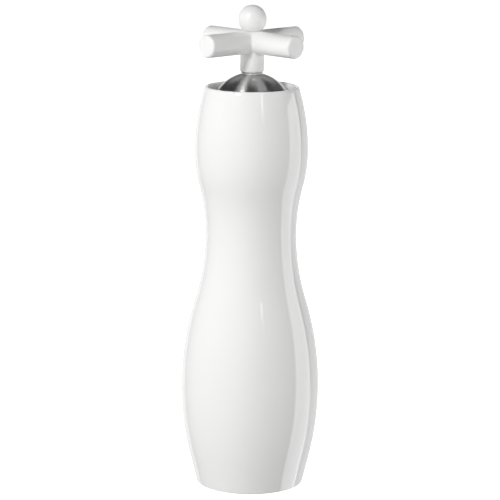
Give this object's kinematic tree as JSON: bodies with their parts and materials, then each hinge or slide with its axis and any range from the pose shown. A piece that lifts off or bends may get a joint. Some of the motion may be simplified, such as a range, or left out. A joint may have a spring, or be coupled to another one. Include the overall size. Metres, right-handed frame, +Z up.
{
  "type": "pepper mill",
  "caption": "Tall waisted pepper mill in gloss white, with a steel dome in its neck, a cross handle that turns the grinder and a ball knob that sets the grind.",
  "frame": {"origin": "centre of the base, on the surface that the mill stands on", "axes": "+Z up the spindle; the handle's four arms point along +X, -X, +Y and -Y at rest"},
  "size_m": [0.08, 0.08, 0.2806],
  "materials": {
    "white_lacquer": "turned beech under opaque high-gloss white lacquer",
    "white_satin": "turned beech under opaque satin white lacquer",
    "spun_steel": "spun stainless steel, brushed in circles",
    "zinc_steel": "zinc-plated steel",
    "hardened_steel": "hardened steel, machined teeth",
    "spring_steel": "drawn spring wire",
    "insert_brass": "turned brass",
    "white_nylon": "moulded natural nylon",
    "black_nylon": "moulded black nylon",
    "seal_rubber": "translucent grey silicone"
  },
  "bodies": {
    "body": {"mill_body": "white_lacquer", "grinder_housing": "white_nylon", "stator_ring": "hardened_steel", "guide_bridge": "zinc_steel", "bridge_bush": "black_nylon", "retaining_bar": "zinc_steel", "housing_screw_left": "zinc_steel", "housing_screw_right": "zinc_steel"},
    "dome": {"dome_cover": "spun_steel", "dome_plug": "white_nylon", "plug_seal": "seal_rubber", "dome_bush": "white_nylon", "bush_nut": "zinc_steel"},
    "handle": {"cross_handle": "white_satin", "handle_socket": "zinc_steel", "handle_washer": "black_nylon"},
    "knob": {"knob_ball": "white_satin", "knob_insert": "insert_brass"},
    "spindle": {"spring_washer": "zinc_steel", "grinder_spring": "spring_steel"},
    "shaft": {"drive_shaft": "zinc_steel", "rotor": "hardened_steel", "rotor_washer": "zinc_steel", "rotor_nut": "zinc_steel"}
  },
  "joints": [
    {"name": "dome_lift", "type": "slide", "parent": "body", "child": "dome", "axis": [0, 0, 1], "range_m": [0, 0.085]},
    {"name": "handle_spin", "type": "hinge", "parent": "dome", "child": "handle", "pos_m": [0, 0, 0.2593], "axis": [0, 0, 1], "continuous": true},
    {"name": "knob_turn", "type": "hinge", "parent": "handle", "child": "knob", "pos_m": [0, 0, 0.2724], "axis": [0, 0, 1], "range_deg": [-720, 0]},
    {"name": "spindle_spin", "type": "hinge", "parent": "body", "child": "spindle", "pos_m": [0, 0, 0.034], "axis": [0, 0, 1], "continuous": true},
    {"name": "shaft_adjust", "type": "slide", "parent": "spindle", "child": "shaft", "axis": [0, 0, 1], "range_m": [0, 0.0016], "deforming": ["grinder_spring"]}
  ],
  "couplings": [
    {"joint": "spindle_spin", "follows": "handle_spin", "ratio": 1},
    {"joint": "knob_turn", "follows": "shaft_adjust", "rad_per_m": -7853.9}
  ]
}
